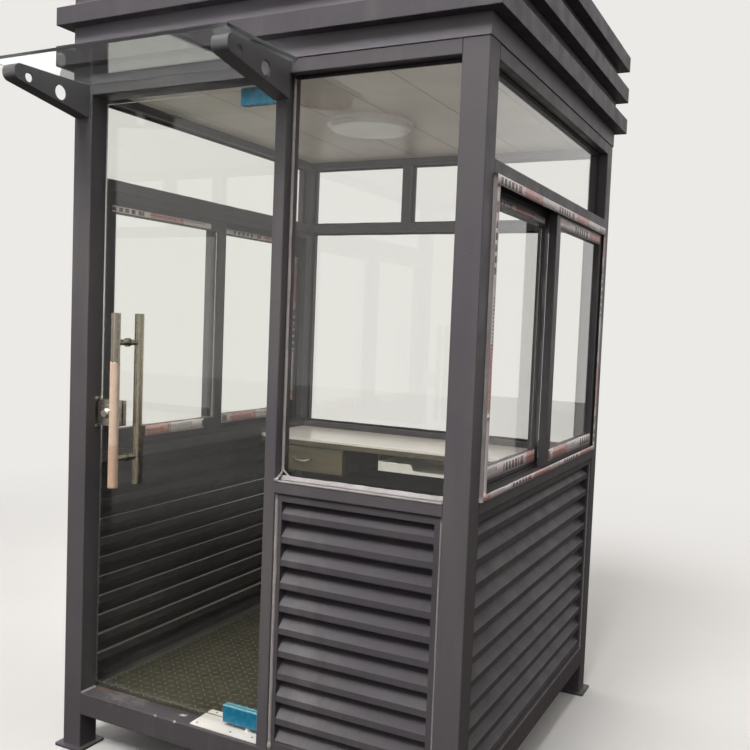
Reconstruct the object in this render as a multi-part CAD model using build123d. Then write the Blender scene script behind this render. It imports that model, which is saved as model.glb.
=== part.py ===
"""Security guard booth: a square steel tube cabin on four legs, with a glass
door on a floor spring, sliding side windows, louvred lower walls, a banded
roof, a glass canopy and a desk with a drawer and a keyboard tray.

Millimetres, +Z up. The door side faces -Y. The origin is on the ground under
the middle of the whole booth, canopy and roof overhang counted.
"""
import os
from math import hypot

from build123d import *

os.makedirs("parts", exist_ok=True)

# Plan of the booth
booth_width = 1500
booth_depth = 1520
band_overhang = 45
canopy_reach = 342

# Steel tube frame
post_size = 80
tube_wall = 3
tube_corner = 4
foot_plate_size = 120
foot_plate_thickness = 8
foot_plate_corner = 6

# Heights from the ground
leg_height = 127
base_beam_height = 80
sill_top = 1055
sill_height = 40
frame_top = 2323
transom_below_top = 310
transom_height = 40
top_rail_height = 44

# Door opening and mullions
door_opening = 745
mullion_width = 40
rear_mullion_offset = 164

# Floor and ceiling
floor_plate_thickness = 5
bearer_width = 40
bearer_count = 3
ceiling_thickness = 12
ceiling_drop = 3
ceiling_board_width = 240
ceiling_board_inset = 160
ceiling_groove = 3
lamp_diameter = 330
lamp_height = 30
lamp_rim = 12
lamp_bevel = 6

# Fixed glass
pane_thickness = 8

# Louvre panels
louvre_setback = 8
louvre_frame_width = 24
louvre_depth = 40
slat_pitch = 71.5
slat_lip = 20
slat_rise = 36
slat_upstand = 26
slat_sheet = 2
slat_first_lip = 12
slat_tenon = 3

# Sliding windows
window_proud = 8
track_base = 10
track_lip = 2.5
track_lip_height = 19
track_lower_lip_height = 9
sash_thickness = 28
sash_stile = 50
sash_rail = 62
sash_pane = 5

# Roof
fascia_proud = 3
fascia_thickness = 28
band_height = 60
band_pitch = 128
band_start = 60
roof_deck_thickness = 20

# Canopy
canopy_glass_thickness = 10
canopy_side_overhang = 50
canopy_fall = 6
bracket_width = 56
bracket_reach = 308
bracket_root_height = 108
bracket_nose_height = 46
bracket_nose_top_radius = 21
bracket_nose_low_radius = 23
bracket_sheet = 6
bracket_hole_margin = 1.5
bracket_large_hole = 48
bracket_large_hole_out = 124
bracket_small_hole = 30
bracket_small_hole_out = 253

# Glass door on its floor spring
door_plane = 67
door_thickness = 12
lock_side_gap = 10
heel_gap = 8
pivot_offset = 68
patch_length = 160
patch_height = 55
patch_thickness = 30
patch_web = 6
patch_corner = 3
patch_core_length = 130
patch_core_height = 24
patch_below = 16
patch_above = 11
spindle_diameter = 16
top_pin_diameter = 12
pin_clearance = 0.3
pin_engagement = 18
spring_plate_length = 262
spring_plate_width = 126
spring_plate_thickness = 3
spring_plate_back = 12
spring_plate_corner = 2
top_pivot_length = 90
top_pivot_width = 24
top_pivot_thickness = 3

# Pull bars, lock and strike
bar_diameter = 32
bar_length = 600
bar_height = 1248
bar_standoff = 60
bar_inset = 112
bar_end_bevel = 1.5
spacer_pitch = 400
spacer_diameter = 20
spacer_hole_clearance = 0.5
spacer_flange_diameter = 30
spacer_flange_thickness = 3
lock_width = 96
lock_tall = 90
lock_height = 1200
lock_cover = 15
lock_round = 4
knob_bevel = 4
knob_diameter = 34
knob_neck_diameter = 18
knob_length = 18
knob_neck_length = 6
knob_inset = 50
strike_thickness = 2
strike_width = 40
strike_tall = 106
strike_slot_width = 14
strike_slot_tall = 34

# Desk, drawer and keyboard tray
desk_depth = 405
desk_below_sill = 25
desk_top_thickness = 10
desk_corner_radius = 60
apron_height = 22
apron_thickness = 20
apron_inset = 2
board = 12
cabinet_left_gap = 45
cabinet_width = 400
cabinet_height = 136
moving_gap = 5
drawer_side_gap = 6
drawer_face_thickness = 14
drawer_box_height = 84
drawer_box_depth = 330
drawer_runner_lift = 10
runner_sheet = 3
runner_ledge = 16
runner_clearance = 0.3
handle_pitch = 78
handle_rod = 6
handle_reach = 24
handle_sag = 5
handle_foot = 10
tray_left_gap = 618
tray_width = 520
tray_drop = 92
tray_height = 40
tray_depth = 300
tray_sheet = 4
tray_notch_margin = 150
tray_lip = 14
tray_notch_slope = 12

# Places worked out from the sizes above
left = -booth_width / 2
right = booth_width / 2
front = (canopy_reach - booth_depth - band_overhang) / 2
rear = front + booth_depth
inner_left = left + post_size
inner_right = right - post_size
inner_front = front + post_size
inner_rear = rear - post_size
floor_top = leg_height + base_beam_height
sill_bottom = sill_top - sill_height
transom_top = frame_top - transom_below_top
transom_bottom = transom_top - transom_height
top_rail_bottom = frame_top - top_rail_height
mullion_left = inner_left + door_opening
mullion_right = mullion_left + mullion_width
mullion_middle = (mullion_left + mullion_right) / 2
fascia_top = frame_top + band_start + 2 * band_pitch + band_height
deck_bottom = fascia_top - roof_deck_thickness
desk_front = inner_rear - desk_depth
desk_top_height = sill_top - desk_below_sill
desk_underside = desk_top_height - desk_top_thickness
apron_bottom = desk_underside - apron_height
cabinet_bottom = desk_underside - cabinet_height
tray_bottom = desk_underside - tray_drop
door_y = front + door_plane
door_left = inner_left + lock_side_gap
door_right = mullion_left - heel_gap
pivot_x = door_right - pivot_offset
plate_top = floor_top + spring_plate_thickness
patch_low = plate_top + patch_below
patch_high = top_rail_bottom - patch_above
door_bottom = patch_low + patch_web
door_top = patch_high - patch_web


def block(x, y, z):
    """A rectangular solid between three pairs of limits."""
    centre = [(low + high) / 2 for low, high in (x, y, z)]
    return Pos(*centre) * Box(x[1] - x[0], y[1] - y[0], z[1] - z[0])


def tube(x, y, z, along):
    """A hollow rectangular steel tube that fills three pairs of limits."""
    start = {"X": (x[0], sum(y) / 2, sum(z) / 2), "Y": (sum(x) / 2, y[0], sum(z) / 2)}
    start["Z"] = (sum(x) / 2, sum(y) / 2, z[0])
    side = {"X": ((0, 1, 0), (1, 0, 0)), "Y": ((0, 0, 1), (0, 1, 0)), "Z": ((1, 0, 0), (0, 0, 1))}
    sizes = {"X": (y, z, x), "Y": (z, x, y), "Z": (x, y, z)}[along]
    wide, tall, length = [high - low for low, high in sizes]
    x_dir, z_dir = side[along]
    plane = Plane(origin=start[along], x_dir=x_dir, z_dir=z_dir)
    inner_corner = max(tube_corner - tube_wall, 1)
    section = RectangleRounded(wide, tall, tube_corner)
    section -= RectangleRounded(wide - 2 * tube_wall, tall - 2 * tube_wall, inner_corner)
    return extrude(plane * section, length)


def cylinder_along(direction, start, diameter, length):
    """A round bar from a start point along a direction."""
    return extrude(Plane(origin=start, z_dir=direction) * Circle(diameter / 2), length)


def group(solids):
    """Several solids of one node, kept apart."""
    return Part() + list(solids)


def save(name, shape):
    export_step(shape, f"parts/{name}.step")


# Each wall is built as seen from outside: U runs to the right along its outer
# face, depth runs inwards, and the wall's place turns it into position.
walls = {
    "front": Pos(left, front, 0),
    "right": Pos(right, front, 0) * Rot(0, 0, 90),
    "rear": Pos(right, rear, 0) * Rot(0, 0, 180),
    "left": Pos(left, rear, 0) * Rot(0, 0, 270),
}
wall_depth = (0, post_size)
side_span = (post_size, booth_depth - post_size)
rear_span = (post_size, booth_width - post_size)
front_bay = (mullion_right - left, booth_width - post_size)
window_walls = {"right": side_span, "left": side_span}
glazed_walls = {**window_walls, "rear": rear_span}
panel_walls = {"front": front_bay, **glazed_walls}


def corner_post(x_side, y_side):
    """A corner tube down to the ground, welded to its foot plate."""
    x = {"left": (left, inner_left), "right": (inner_right, right)}[x_side]
    y = {"front": (front, inner_front), "rear": (inner_rear, rear)}[y_side]
    leg = tube(x, y, (foot_plate_thickness, frame_top), "Z")
    plate = RectangleRounded(foot_plate_size, foot_plate_size, foot_plate_corner)
    return leg + Pos(sum(x) / 2, sum(y) / 2, 0) * extrude(plate, foot_plate_thickness)


def ring_rails(z):
    """Four tubes between the posts at one height."""
    across = [tube((inner_left, inner_right), y, z, "X") for y in ((front, inner_front), (inner_rear, rear))]
    along = [tube(x, (inner_front, inner_rear), z, "Y") for x in ((left, inner_left), (inner_right, right))]
    return group(across + along)


def wall_rails(spans, z):
    """One tube in each named wall at one height."""
    return group(walls[side] * tube(span, wall_depth, z, "X") for side, span in spans.items())


def floor_bearers():
    """Cross tubes that carry the floor plate between the side beams."""
    step = (inner_rear - inner_front) / (bearer_count + 1)
    z = (leg_height, floor_top - floor_plate_thickness)
    bearers = []
    for number in range(bearer_count):
        middle = inner_front + step * (number + 1)
        y = (middle - bearer_width / 2, middle + bearer_width / 2)
        bearers.append(tube((inner_left, inner_right), y, z, "X"))
    return group(bearers)


def pane(span, z, thickness=pane_thickness):
    """A fixed sheet of glass in the middle of a wall's depth."""
    middle = post_size / 2
    return block(span, (middle - thickness / 2, middle + thickness / 2), z)


def slat_profile(bottom):
    """Bent sheet: a front lip, a blade that climbs inwards, and an upright back edge."""
    face = louvre_setback + slat_sheet
    back = louvre_setback + louvre_depth
    run = back - slat_sheet - face
    slope = slat_rise / run
    drop = slat_sheet * hypot(run, slat_rise) / run
    bend = bottom + slat_lip
    top = bend + slat_rise + slat_upstand
    points = [
        (face, bottom),
        (face, bend),
        (back - slat_sheet, bend + slat_rise),
        (back - slat_sheet, top),
        (back, top),
        (back, bend + slope * (back - face) - drop),
        (face + slat_sheet, bend + slope * slat_sheet - drop),
        (face + slat_sheet, bottom),
    ]
    return make_face(Polyline(points, close=True))


def louvre_panel(span):
    """A framed panel of fixed slats between the base beam and the sill."""
    low, high = span
    z = (floor_top, sill_bottom)
    depth = (louvre_setback, louvre_setback + louvre_depth)
    opening_u = (low + louvre_frame_width, high - louvre_frame_width)
    opening_z = (z[0] + louvre_frame_width, z[1] - louvre_frame_width)
    panel = block(span, depth, z) - block(opening_u, (0, post_size), opening_z)
    slat_length = opening_u[1] - opening_u[0] + 2 * slat_tenon
    start = Plane.YZ.offset(opening_u[0] - slat_tenon)
    bottom = floor_top + slat_first_lip
    slats = []
    while bottom + slat_lip < opening_z[1]:
        slat = extrude(start * slat_profile(bottom), slat_length)
        slats.append(slat & block(span, depth, z))
        bottom += slat_pitch
    return panel + slats


window_depth = (-window_proud, post_size)


def window_frame(span):
    """Sliding window frame: one base with two tracks between three lips."""
    low, high = span
    z = (sill_top, transom_bottom)
    through = track_base + track_lip_height
    through_z = (z[0] + track_base + track_lower_lip_height, z[1] - through)
    frame = block(span, window_depth, z)
    frame -= block((low + through, high - through), window_depth, through_z)
    channel_u = (low + track_base, high - track_base)
    channel_z = (z[0] + track_base, z[1] - track_base)
    for track in ("outer", "inner"):
        frame -= block(channel_u, track_depth(track), channel_z)
    return frame


def track_depth(track):
    """Near and far limits of a track, measured inwards from the wall face."""
    width = (window_depth[1] - window_depth[0] - 3 * track_lip) / 2
    near = window_depth[0] + track_lip
    if track == "inner":
        near += width + track_lip
    return near, near + width


def sash_box(span, track, first):
    """Limits of a sash that stands in a track at one end of the window."""
    low, high = span[0] + track_base, span[1] - track_base
    width = (high - low + sash_stile) / 2
    u = (low, low + width) if first else (high - width, high)
    near, far = track_depth(track)
    middle = (near + far) / 2
    depth = (middle - sash_thickness / 2, middle + sash_thickness / 2)
    return u, depth, (sill_top + track_base, transom_bottom - track_base)


def sash_glass_limits(u, depth, z):
    middle = sum(depth) / 2
    glass_depth = (middle - sash_pane / 2, middle + sash_pane / 2)
    glass_u = (u[0] + sash_stile, u[1] - sash_stile)
    return glass_u, glass_depth, (z[0] + sash_rail, z[1] - sash_rail)


def sash(u, depth, z):
    """Two stiles and two rails around the glass."""
    glass_u, _, glass_z = sash_glass_limits(u, depth, z)
    return block(u, depth, z) - block(glass_u, window_depth, glass_z)


# On both sides the sash nearer the door slides on the inner track.
window_sashes = {
    "right": [("inner", True), ("outer", False)],
    "left": [("outer", True), ("inner", False)],
}


def ring(outer, inner, z):
    """A rectangular ring with a level top, from two insets of the booth plan."""
    plan_middle = Pos(0, (front + rear) / 2, z[0])
    shape = Rectangle(booth_width - 2 * outer, booth_depth - 2 * outer)
    shape -= Rectangle(booth_width - 2 * inner, booth_depth - 2 * inner)
    return extrude(plan_middle * shape, z[1] - z[0])


def roof_band(number):
    bottom = frame_top + band_start + number * band_pitch
    return ring(-band_overhang, -fascia_proud, (bottom, bottom + band_height))


def roof_deck():
    x = (left - fascia_proud, right + fascia_proud)
    y = (front - fascia_proud, rear + fascia_proud)
    return block(x, y, (deck_bottom, fascia_top))


def ceiling_panel():
    """Boards laid side by side from front to rear, with a groove at each joint."""
    top = frame_top - ceiling_drop
    y = (inner_front, inner_rear)
    low = top - ceiling_thickness
    panel = block((inner_left, inner_right), y, (low, top))
    joint = left + ceiling_board_inset
    while joint < inner_right:
        panel -= block((joint - ceiling_groove / 2, joint + ceiling_groove / 2), y, (low, low + ceiling_groove))
        joint += ceiling_board_width
    return panel


def ceiling_lamp():
    """A round flat lamp with a narrow stepped rim."""
    top = frame_top - ceiling_drop - ceiling_thickness
    middle_y = (front + rear) / 2
    rim = cylinder_along((0, 0, -1), (0, middle_y, top), lamp_diameter, lamp_height / 2)
    cover_diameter = lamp_diameter - 2 * lamp_rim
    cover = cylinder_along((0, 0, -1), (0, middle_y, top), cover_diameter, lamp_height)
    return rim + chamfer(cover.faces().sort_by(Axis.Z)[0].edges(), lamp_bevel)


def canopy_underside(y):
    """Height of the canopy glass's lower face at a distance from the wall."""
    fall = canopy_fall * (front - y) / canopy_reach
    return frame_top - canopy_glass_thickness - fall


def bracket_profile(inset):
    """Side view of a canopy arm with a rounded nose, a distance inside its outline."""
    tip = front - bracket_reach
    tip_high = canopy_underside(tip)
    points = [
        (front, canopy_underside(front) - bracket_root_height),
        (front, canopy_underside(front)),
        (tip, tip_high),
        (tip, tip_high - bracket_nose_height),
    ]
    arm = make_face(Polyline(points, close=True))
    nose = arm.vertices().sort_by(Axis.X)[:2].sort_by(Axis.Y)
    arm = fillet(nose[0], bracket_nose_low_radius)
    arm = fillet(arm.vertices().sort_by(Axis.Y).filter_by_position(Axis.X, tip - 1, tip + 1)[-1],
                 bracket_nose_top_radius)
    return offset(arm, -inset) if inset else arm


def canopy_bracket(x_middle):
    """A cantilever arm: a web with two round holes and a rim, open on its left."""
    start = Plane.YZ.offset(x_middle - bracket_width / 2)
    arm = extrude(start * bracket_profile(0), bracket_width)
    arm -= extrude(start * bracket_profile(bracket_sheet), bracket_width - bracket_sheet)
    root_low = canopy_underside(front) - bracket_root_height
    nose_low = canopy_underside(front - bracket_reach) - bracket_nose_height
    holes = ((bracket_large_hole_out, bracket_large_hole), (bracket_small_hole_out, bracket_small_hole))
    for out, diameter in holes:
        low = root_low + (nose_low - root_low) * out / bracket_reach
        height = low + bracket_sheet + bracket_hole_margin + diameter / 2
        arm -= cylinder_along((1, 0, 0), (x_middle, front - out, height), diameter, bracket_width)
    return arm


left_bracket_x = (left + inner_left) / 2
canopy_left = left_bracket_x - canopy_side_overhang
canopy_right = mullion_middle + canopy_side_overhang


def canopy_glass():
    edge = front - canopy_reach
    points = [(y, canopy_underside(y) + lift)
              for y, lift in ((front, 0), (edge, 0), (edge, canopy_glass_thickness),
                              (front, canopy_glass_thickness))]
    sheet = make_face(Polyline(points, close=True))
    return extrude(Plane.YZ.offset(canopy_left) * sheet, canopy_right - canopy_left)


def plate_limits():
    """Limits of the floor spring's cover plate, which ends by the mullion."""
    high = door_right
    x = (high - spring_plate_length, high)
    y = (front + spring_plate_back, front + spring_plate_back + spring_plate_width)
    return x, y


def floor_spring():
    """Cover plate on the sill with the spindle that carries the door."""
    x, y = plate_limits()
    plate = Rectangle(x[1] - x[0], y[1] - y[0])
    plate = fillet(plate.vertices(), spring_plate_corner)
    cover = extrude(Pos(sum(x) / 2, sum(y) / 2, floor_top) * plate, spring_plate_thickness)
    length = spring_plate_thickness + patch_below + pin_engagement
    return cover + cylinder_along((0, 0, 1), (pivot_x, door_y, floor_top), spindle_diameter, length)


def top_pivot():
    """Plate under the top rail with the pin that steadies the door."""
    x = (door_right - top_pivot_length, door_right)
    y = (door_y - top_pivot_width / 2, door_y + top_pivot_width / 2)
    plate = block(x, (y[0], min(y[1], inner_front)), (top_rail_bottom - top_pivot_thickness, top_rail_bottom))
    length = patch_above + pin_engagement
    return plate + cylinder_along((0, 0, -1), (pivot_x, door_y, top_rail_bottom), top_pin_diameter, length)


def bar_x():
    return door_left + bar_inset


def spacer_heights():
    return [bar_height - spacer_pitch / 2, bar_height + spacer_pitch / 2]


def door_glass():
    """Frameless leaf, notched for the patch fittings and drilled for the bars."""
    y = (door_y - door_thickness / 2, door_y + door_thickness / 2)
    leaf = block((door_left, door_right), y, (door_bottom, door_top))
    notch_x = (door_right - patch_core_length, door_right)
    leaf -= block(notch_x, y, (door_bottom, door_bottom + patch_core_height))
    leaf -= block(notch_x, y, (door_top - patch_core_height, door_top))
    hole = spacer_diameter + 2 * spacer_hole_clearance
    for height in spacer_heights():
        leaf -= cylinder_along((0, 1, 0), (bar_x(), y[0], height), hole, door_thickness)
    return leaf


def patch(z, pin_diameter, pin_start, pin_direction):
    """A clamp fitting on the door's corner, filled where the glass is notched."""
    x = (door_right - patch_length, door_right)
    y = (door_y - patch_thickness / 2, door_y + patch_thickness / 2)
    body = block(x, y, z)
    body = fillet(body.edges().filter_by(Axis.Z), patch_corner)
    body -= door_glass()
    depth = pin_engagement + pin_clearance
    bore = pin_diameter + 2 * pin_clearance
    return body - cylinder_along(pin_direction, (pivot_x, door_y, pin_start), bore, depth)


def pull_bars():
    """Bars back to back on both faces, joined through the glass."""
    low = bar_height - bar_length / 2
    bars = []
    for side in (-1, 1):
        axis_y = door_y + side * bar_standoff
        bar = cylinder_along((0, 0, 1), (bar_x(), axis_y, low), bar_diameter, bar_length)
        bars.append(chamfer(bar.edges().filter_by(GeomType.CIRCLE), bar_end_bevel))
    joined = bars[0] + bars[1]
    face = door_thickness / 2
    for height in spacer_heights():
        start = (bar_x(), door_y - bar_standoff, height)
        joined += cylinder_along((0, 1, 0), start, spacer_diameter, 2 * bar_standoff)
        for side in (-1, 1):
            flange = (bar_x(), door_y + side * face, height)
            joined += cylinder_along((0, side, 0), flange, spacer_flange_diameter, spacer_flange_thickness)
    return joined


def door_lock():
    """Lock covers on both faces of the glass, each with a round knob."""
    x = (door_left, door_left + lock_width)
    z = (lock_height - lock_tall / 2, lock_height + lock_tall / 2)
    covers = []
    for side in (-1, 1):
        near = door_y + side * door_thickness / 2
        far = near + side * lock_cover
        cover = block(x, (min(near, far), max(near, far)), z)
        cover = fillet(cover.edges().filter_by(Axis.Y), lock_round)
        knob_place = (door_left + knob_inset, far, lock_height)
        cover += cylinder_along((0, side, 0), knob_place, knob_neck_diameter, knob_neck_length)
        knob_place = (door_left + knob_inset, far + side * knob_neck_length, lock_height)
        knob = cylinder_along((0, side, 0), knob_place, knob_diameter, knob_length)
        covers.append(cover + chamfer(knob.edges().filter_by(GeomType.CIRCLE), knob_bevel))
    return group(covers)


def strike_plate():
    """Plate on the post's inner face with a slot for the bolt."""
    z = (lock_height - strike_tall / 2, lock_height + strike_tall / 2)
    y_high = min(door_y + strike_width / 2, inner_front)
    plate = block((inner_left, inner_left + strike_thickness), (y_high - strike_width, y_high), z)
    slot_y = (door_y - strike_slot_width / 2, door_y + strike_slot_width / 2)
    slot_z = (lock_height - strike_slot_tall / 2, lock_height + strike_slot_tall / 2)
    return plate - block((inner_left, inner_left + strike_thickness), slot_y, slot_z)


def desk_outline(inset):
    """The desk's plan, wall to wall, with one rounded front corner."""
    low = desk_front + inset
    plan = Rectangle(inner_right - inner_left, inner_rear - low)
    corner = plan.vertices().group_by(Axis.Y)[0].sort_by(Axis.X)[0]
    return Pos((inner_left + inner_right) / 2, (low + inner_rear) / 2) * fillet(corner, desk_corner_radius)


def desk_top():
    return extrude(Pos(0, 0, desk_underside) * desk_outline(0), desk_top_thickness)


def desk_apron():
    """The strip under the desk's front edge, round its corner to the wall."""
    strip = desk_outline(apron_inset)
    cut_front = desk_front + apron_inset + apron_thickness
    hollow = Rectangle(booth_width, inner_rear - cut_front)
    hollow = Pos(inner_left + apron_thickness + booth_width / 2, (cut_front + inner_rear) / 2) * hollow
    inner_corner = hollow.vertices().group_by(Axis.Y)[0].sort_by(Axis.X)[0]
    hollow = fillet(inner_corner, desk_corner_radius - apron_thickness)
    return extrude(Pos(0, 0, apron_bottom) * (strip - hollow), apron_height)


behind_apron = desk_front + apron_inset + apron_thickness + moving_gap
cabinet_x = (inner_left + cabinet_left_gap, inner_left + cabinet_left_gap + cabinet_width)
drawer_face_y = (behind_apron - moving_gap - drawer_face_thickness, behind_apron - moving_gap)
drawer_x = (cabinet_x[0] + board + drawer_side_gap, cabinet_x[1] - board - drawer_side_gap)
drawer_low = cabinet_bottom + board + drawer_runner_lift
tray_x = (inner_left + tray_left_gap, inner_left + tray_left_gap + tray_width)


def drawer_cabinet():
    """Open-fronted housing under the desk, with a back and a bottom."""
    outer = block(cabinet_x, (behind_apron, inner_rear), (cabinet_bottom, desk_underside))
    inner_x = (cabinet_x[0] + board, cabinet_x[1] - board)
    inner_z = (cabinet_bottom + board, desk_underside)
    return outer - block(inner_x, (behind_apron, inner_rear - board), inner_z)


def ledge(x_wall, x_in, top, y):
    """A level strip that a sliding edge rests on."""
    x = (min(x_wall, x_in), max(x_wall, x_in))
    return block(x, y, (top - runner_sheet, top))


def slide_runners():
    """Ledges in the cabinet, and hangers with ledges for the keyboard tray."""
    y = (behind_apron, inner_rear - board)
    top = drawer_low - runner_clearance
    low_wall = cabinet_x[0] + board
    high_wall = cabinet_x[1] - board
    runners = [ledge(low_wall, low_wall + runner_ledge, top, y)]
    runners.append(ledge(high_wall, high_wall - runner_ledge, top, y))
    tray_top = tray_bottom - runner_clearance
    hanger_y = (behind_apron, behind_apron + tray_depth)
    for edge, inwards in ((tray_x[0] - moving_gap, 1), (tray_x[1] + moving_gap, -1)):
        outer = edge - inwards * runner_sheet
        x = (min(edge, outer), max(edge, outer))
        hanger = block(x, hanger_y, (tray_top - runner_sheet, desk_underside))
        runners.append(hanger + ledge(edge, edge + inwards * runner_ledge, tray_top, hanger_y))
    return group(runners)


def drawer():
    """A face over the cabinet's front, and an open box behind it."""
    face_z = (cabinet_bottom, apron_bottom - moving_gap)
    face = block(cabinet_x, drawer_face_y, face_z)
    y = (drawer_face_y[1], drawer_face_y[1] + drawer_box_depth)
    z = (drawer_low, drawer_low + drawer_box_height)
    box = block(drawer_x, y, z)
    inner_x = (drawer_x[0] + board, drawer_x[1] - board)
    return face + (box - block(inner_x, (y[0], y[1] - board), (z[0] + board, z[1])))


def drawer_handle():
    """A bowed rod on two feet in the middle of the drawer's face."""
    middle = sum(cabinet_x) / 2
    height = (cabinet_bottom + apron_bottom - moving_gap) / 2
    face = drawer_face_y[0]
    ends = [(middle + side * handle_pitch / 2, face - handle_reach / 2, height) for side in (-1, 1)]
    bow = ThreePointArc(ends[0], (middle, face - handle_reach, height - handle_sag), ends[1])
    rod = sweep(Plane(origin=bow @ 0, z_dir=bow % 0) * Circle(handle_rod / 2), path=bow)
    for end in ends:
        rod += cylinder_along((0, -1, 0), (end[0], face, end[2]), handle_foot, handle_reach / 2 + handle_rod / 2)
    return rod


def keyboard_tray():
    """A shallow open tray whose front wall drops between its two ends."""
    y = (drawer_face_y[0], drawer_face_y[0] + tray_depth)
    z = (tray_bottom, tray_bottom + tray_height)
    tray = block(tray_x, y, z)
    inner_x = (tray_x[0] + tray_sheet, tray_x[1] - tray_sheet)
    tray -= block(inner_x, (y[0] + tray_sheet, y[1] - tray_sheet), (z[0] + tray_sheet, z[1]))
    low, high = tray_x[0] + tray_notch_margin, tray_x[1] - tray_notch_margin
    rim = z[0] + tray_lip
    points = [(low, z[1]), (low + tray_notch_slope, rim), (high - tray_notch_slope, rim), (high, z[1])]
    notch = make_face(Polyline(points, close=True))
    return tray - extrude(Plane.XZ.offset(-y[0] - tray_sheet) * notch, tray_sheet)


def save_frame():
    for y_side in ("front", "rear"):
        for x_side in ("left", "right"):
            save(f"{y_side}_{x_side}_post", corner_post(x_side, y_side))
    save("base_beams", ring_rails((leg_height, floor_top)))
    save("top_rails", ring_rails((top_rail_bottom, frame_top)))
    save("sill_rails", wall_rails(panel_walls, (sill_bottom, sill_top)))
    save("transom_rails", wall_rails(glazed_walls, (transom_bottom, transom_top)))
    mullion_y = (front, inner_front)
    save("front_mullion", tube((mullion_left, mullion_right), mullion_y, (floor_top, top_rail_bottom), "Z"))
    uppers = []
    for offset in (-rear_mullion_offset, rear_mullion_offset):
        x = (offset - mullion_width / 2, offset + mullion_width / 2)
        uppers.append(tube(x, (inner_rear, rear), (transom_top, top_rail_bottom), "Z"))
    save("rear_upper_mullions", group(uppers))


def save_floor_and_ceiling():
    save("floor_bearers", floor_bearers())
    x = (inner_left, inner_right)
    y = (inner_front, inner_rear)
    save("floor_plate", block(x, y, (floor_top - floor_plate_thickness, floor_top)))
    save("ceiling_panel", ceiling_panel())
    save("ceiling_lamp", ceiling_lamp())


def save_walls():
    for side, span in panel_walls.items():
        save(f"{side}_louvre", walls[side] * louvre_panel(span))
    for side, span in window_walls.items():
        save(f"{side}_window_frame", walls[side] * window_frame(span))
        boxes = [sash_box(span, track, first) for track, first in window_sashes[side]]
        save(f"{side}_window_sashes", group(walls[side] * sash(*box) for box in boxes))
        panes = [walls[side] * block(*sash_glass_limits(*box)) for box in boxes]
        save(f"{side}_window_glass", group(panes))
    upper = (transom_top, top_rail_bottom)
    save("side_transom_glass", group(walls[side] * pane(span, upper) for side, span in window_walls.items()))
    save("front_fixed_glass", walls["front"] * pane(front_bay, (sill_top, top_rail_bottom)))
    save("rear_fixed_glass", walls["rear"] * pane(rear_span, (sill_top, transom_bottom)))
    middle = booth_width / 2
    half = mullion_width / 2
    edges = [rear_span[0], middle - rear_mullion_offset - half, middle - rear_mullion_offset + half,
             middle + rear_mullion_offset - half, middle + rear_mullion_offset + half, rear_span[1]]
    uppers = [walls["rear"] * pane(bay, upper) for bay in zip(edges[::2], edges[1::2])]
    save("rear_transom_glass", group(uppers))


def save_roof():
    save("roof_fascia", ring(-fascia_proud, fascia_thickness - fascia_proud, (frame_top, deck_bottom)))
    for number, name in enumerate(("lower", "middle", "upper")):
        save(f"roof_band_{name}", roof_band(number))
    save("roof_deck", roof_deck())
    save("canopy_glass", canopy_glass())
    save("canopy_brackets", group([canopy_bracket(left_bracket_x), canopy_bracket(mullion_middle)]))


def save_door():
    save("floor_spring", floor_spring())
    save("top_pivot", top_pivot())
    save("strike_plate", strike_plate())
    save("door_glass", door_glass())
    low = (patch_low, patch_low + patch_height)
    high = (patch_high - patch_height, patch_high)
    save("door_bottom_patch", patch(low, spindle_diameter, patch_low, (0, 0, 1)))
    save("door_top_patch", patch(high, top_pin_diameter, patch_high, (0, 0, -1)))
    save("door_pull_bars", pull_bars())
    save("door_lock", door_lock())


def save_desk():
    save("desk_top", desk_top())
    save("desk_apron", desk_apron())
    save("drawer_cabinet", drawer_cabinet())
    save("slide_runners", slide_runners())
    save("drawer", drawer())
    save("drawer_handle", drawer_handle())
    save("keyboard_tray", keyboard_tray())


save_frame()
save_floor_and_ceiling()
save_walls()
save_roof()
save_door()
save_desk()
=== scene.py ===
"""Security guard booth: the finishes, sealant, tapes, films, gaskets, screws
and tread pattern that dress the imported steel, glass and board pieces.

Everything is in metres, +Z up. The glass door faces -Y, and the side window
that shows in the photograph faces +X.
"""
import math

import bmesh
import bpy
from mathutils import Matrix, Vector, noise


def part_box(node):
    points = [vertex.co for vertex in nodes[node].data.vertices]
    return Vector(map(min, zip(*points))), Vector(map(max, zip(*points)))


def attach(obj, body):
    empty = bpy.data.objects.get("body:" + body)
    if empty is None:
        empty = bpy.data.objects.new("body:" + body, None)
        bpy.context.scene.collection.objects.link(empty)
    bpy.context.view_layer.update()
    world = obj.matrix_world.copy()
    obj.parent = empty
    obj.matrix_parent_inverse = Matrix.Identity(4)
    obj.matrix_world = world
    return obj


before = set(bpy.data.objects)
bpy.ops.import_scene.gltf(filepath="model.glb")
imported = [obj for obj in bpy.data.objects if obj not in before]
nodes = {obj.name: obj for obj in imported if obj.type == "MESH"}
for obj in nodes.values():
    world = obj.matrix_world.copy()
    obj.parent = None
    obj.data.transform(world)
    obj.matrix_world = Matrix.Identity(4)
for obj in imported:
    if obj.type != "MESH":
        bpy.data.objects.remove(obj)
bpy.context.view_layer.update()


# Colours and shader building

def linear(code):
    """An sRGB hex colour as the linear RGBA that the shaders work in."""
    values = [int(code[i:i + 2], 16) / 255 for i in (1, 3, 5)]
    return [v / 12.92 if v <= 0.04045 else ((v + 0.055) / 1.055) ** 2.4 for v in values] + [1.0]


def add(tree, kind, inputs=None, **settings):
    """A node with its settings, and its inputs given as values, sockets or nodes."""
    node = tree.nodes.new(kind)
    for name, value in settings.items():
        setattr(node, name, value)
    for name, value in (inputs or {}).items():
        socket = next(s for s in node.inputs if s.enabled and name in (s.name, s.identifier))
        if isinstance(value, bpy.types.Node):
            value = next(s for s in value.outputs if s.enabled)
        if isinstance(value, bpy.types.NodeSocket):
            tree.links.new(value, socket)
        else:
            socket.default_value = value
    return node


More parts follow.
